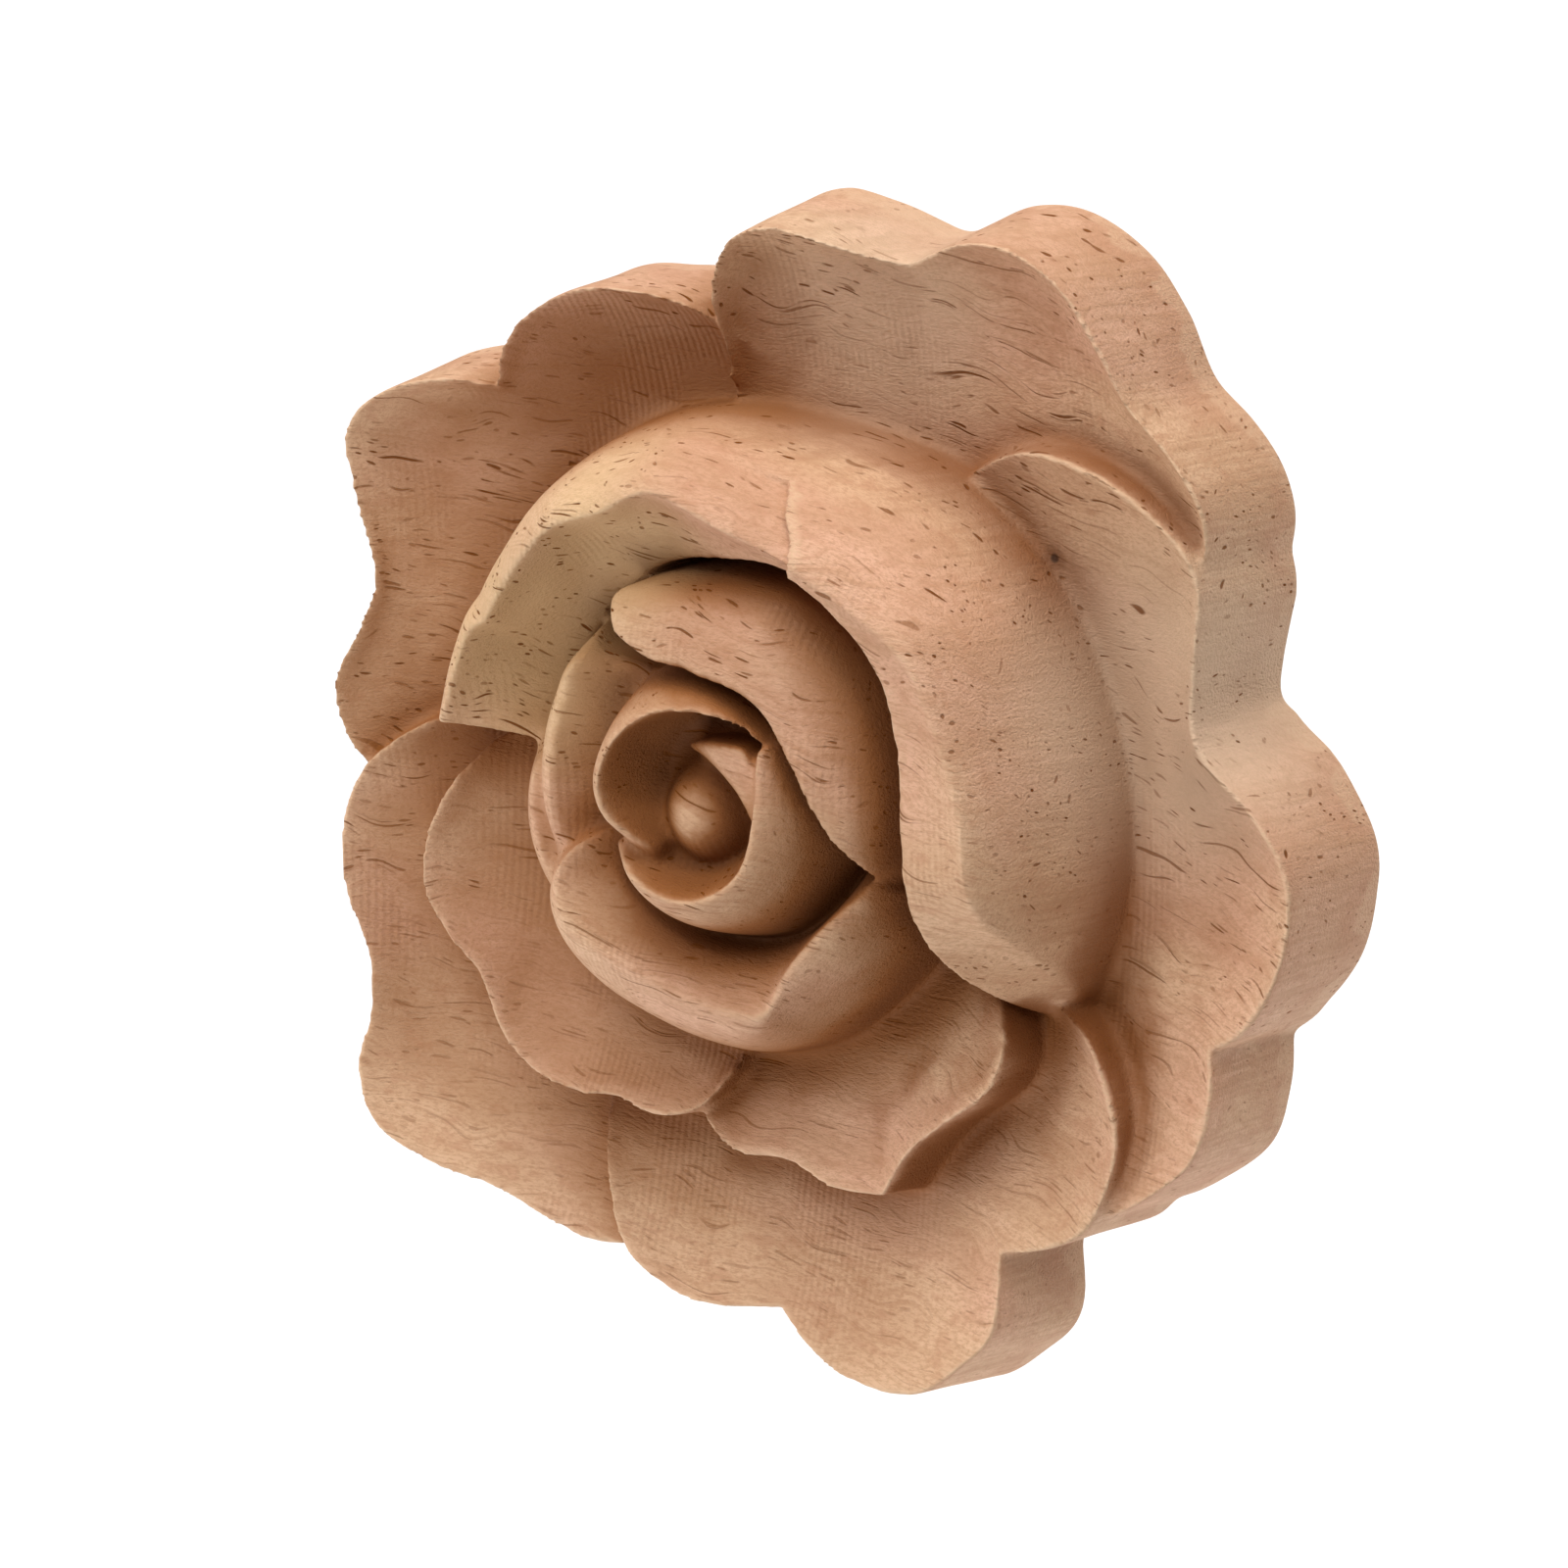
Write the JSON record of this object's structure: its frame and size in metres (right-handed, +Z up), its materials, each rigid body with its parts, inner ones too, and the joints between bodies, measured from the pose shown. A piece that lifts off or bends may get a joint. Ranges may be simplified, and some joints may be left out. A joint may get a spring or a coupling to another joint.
{
  "type": "carved wood rose applique",
  "caption": "Carved hardwood rose applique with scalloped outer petals, a big rolled petal, a spiral bud and a flat back to fix to furniture or a panel.",
  "frame": {"origin": "on the flat back, behind the axis of the bud", "axes": "+Z up and +X right as the flower is seen from the front; the flower faces -Y and its flat back faces +Y"},
  "size_m": [0.0809, 0.0215, 0.0816],
  "materials": {
    "wood": "raw carved pale hardwood, unfinished, open pores"
  },
  "bodies": {
    "root": {"rose": "wood"}
  },
  "joints": []
}
